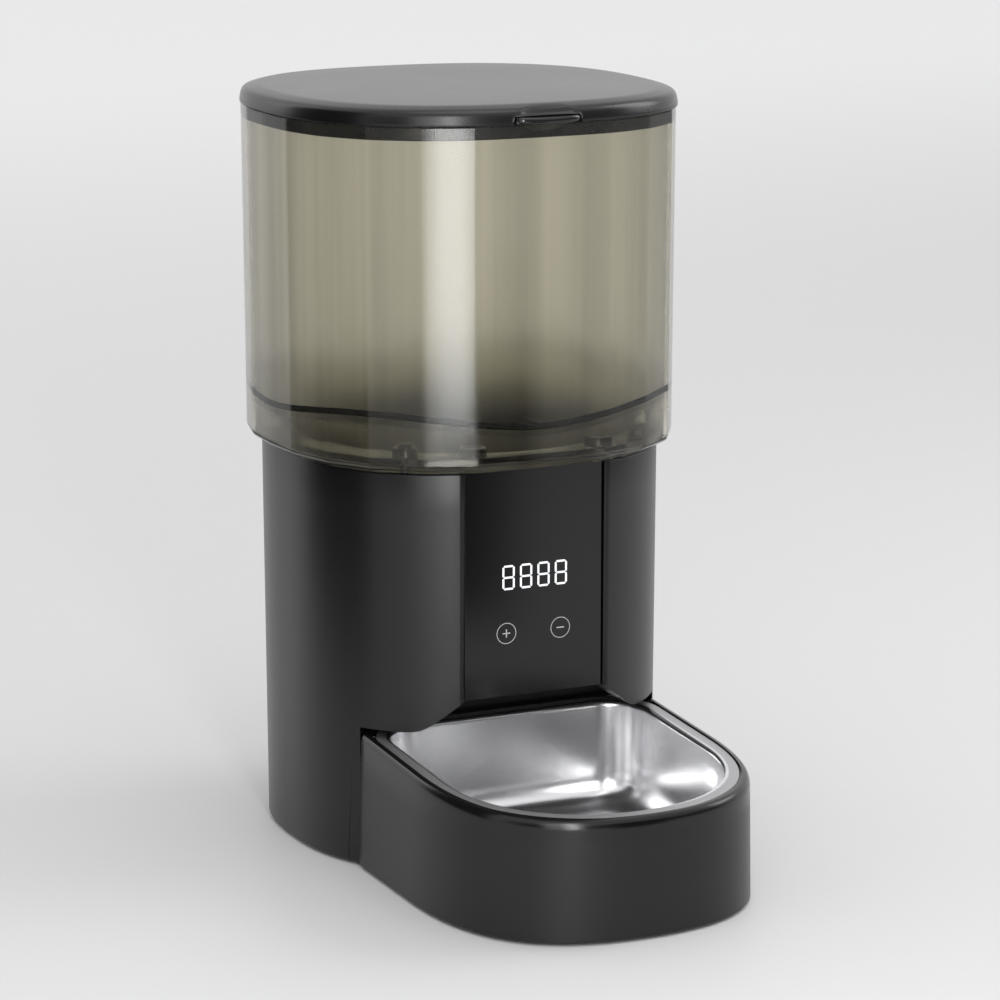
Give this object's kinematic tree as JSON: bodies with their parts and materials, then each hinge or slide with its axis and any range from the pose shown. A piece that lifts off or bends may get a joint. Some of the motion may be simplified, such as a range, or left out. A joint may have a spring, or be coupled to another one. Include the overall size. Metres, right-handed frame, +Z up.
{
  "type": "automatic pet feeder",
  "caption": "Tower-shaped automatic dry food feeder with a clear food tank, a powered dosing rotor, a digit display and a steel bowl in a pull-out tray.",
  "frame": {"origin": "on the floor, at the middle of the feeder's footprint", "axes": "+Z up; -Y is the front, where the bowl is; +X is to the viewer's right when facing the display"},
  "size_m": [0.1808, 0.2799, 0.3287],
  "materials": {
    "black_shell": "fine satin moulding",
    "gloss_black": "polished",
    "smoke_clear": "smoke-tinted clear moulding",
    "black_rubber": "matt",
    "bowl_steel": "polished pressing",
    "plain_steel": "plain",
    "grey_plastic": "plain moulding",
    "nylon": "natural nylon",
    "silicone": "soft grey",
    "circuit_board": "green mask",
    "cell_jacket": "printed sleeve",
    "copper_sheet": "plated strip",
    "wire_red": "wire insulation",
    "wire_black": "wire insulation"
  },
  "bodies": {
    "tower": {"tower_shell": "black_shell", "front_panel": "gloss_black", "display_module": "grey_plastic", "display_board": "circuit_board", "touch_pad_left": "copper_sheet", "touch_pad_right": "copper_sheet", "rotor_pan": "grey_plastic", "rotor_cover": "grey_plastic", "food_chute": "black_shell", "idler_pin": "plain_steel", "gearbox_base": "grey_plastic", "gearbox_cover": "grey_plastic", "motor": "plain_steel", "base_plate": "black_shell", "battery_1": "cell_jacket", "battery_2": "cell_jacket", "battery_3": "cell_jacket", "contact_front": "copper_sheet", "contact_rear": "copper_sheet", "main_board": "circuit_board", "power_jack": "gloss_black", "power_lead": "wire_black", "motor_lead": "wire_red", "display_ribbon": "grey_plastic", "base_screw_1": "plain_steel", "base_screw_2": "plain_steel", "base_screw_3": "plain_steel", "base_screw_4": "plain_steel", "tower_foot_1": "black_rubber", "tower_foot_2": "black_rubber", "tower_foot_3": "black_rubber", "tower_foot_4": "black_rubber"},
    "tank": {"tank_wall": "smoke_clear", "funnel": "smoke_clear", "funnel_seal": "black_rubber", "tank_base": "smoke_clear", "tank_screw_1": "plain_steel", "tank_screw_2": "plain_steel", "tank_screw_3": "plain_steel", "tank_screw_4": "plain_steel"},
    "lid": {"lid_cover": "black_shell", "lid_seal": "black_rubber", "latch_spring": "plain_steel"},
    "latch": {"lid_latch": "gloss_black"},
    "rotor": {"rotor": "silicone", "agitator": "grey_plastic", "drive_shaft": "plain_steel", "output_gear": "nylon"},
    "idler": {"idler_gear": "nylon"},
    "pinion": {"motor_pinion": "plain_steel"},
    "tray": {"tray_body": "black_shell", "tray_base": "black_shell", "bowl": "bowl_steel", "tray_foot_1": "black_rubber", "tray_foot_2": "black_rubber", "tray_foot_3": "black_rubber", "tray_foot_4": "black_rubber"},
    "door": {"battery_door": "black_shell"}
  },
  "joints": [
    {"name": "tank_lift", "type": "slide", "parent": "tower", "child": "tank", "axis": [0, 0, 1], "range_m": [0, 0.09]},
    {"name": "lid_lift", "type": "slide", "parent": "tank", "child": "lid", "axis": [0, 0, 1], "range_m": [0, 0.06]},
    {"name": "latch_press", "type": "slide", "parent": "lid", "child": "latch", "axis": [0, 1, 0], "range_m": [0, 0.0025], "stiffness_N_per_m": 300, "deforming": ["latch_spring"]},
    {"name": "rotor_spin", "type": "hinge", "parent": "tower", "child": "rotor", "pos_m": [0, 0.0495, 0.135], "axis": [0, 0, 1], "continuous": true},
    {"name": "idler_spin", "type": "hinge", "parent": "tower", "child": "idler", "pos_m": [0, 0.0735, 0.0915], "axis": [0, 0, 1], "continuous": true},
    {"name": "pinion_spin", "type": "hinge", "parent": "tower", "child": "pinion", "pos_m": [0, 0.0935, 0.094], "axis": [0, 0, 1], "continuous": true},
    {"name": "tray_pull", "type": "slide", "parent": "tower", "child": "tray", "axis": [0, -1, 0], "range_m": [0, 0.12]},
    {"name": "door_slide", "type": "slide", "parent": "tower", "child": "door", "axis": [0, 1, 0], "range_m": [0, 0.005]}
  ],
  "couplings": [
    {"joint": "idler_spin", "follows": "rotor_spin", "ratio": -3},
    {"joint": "pinion_spin", "follows": "rotor_spin", "ratio": 9}
  ]
}
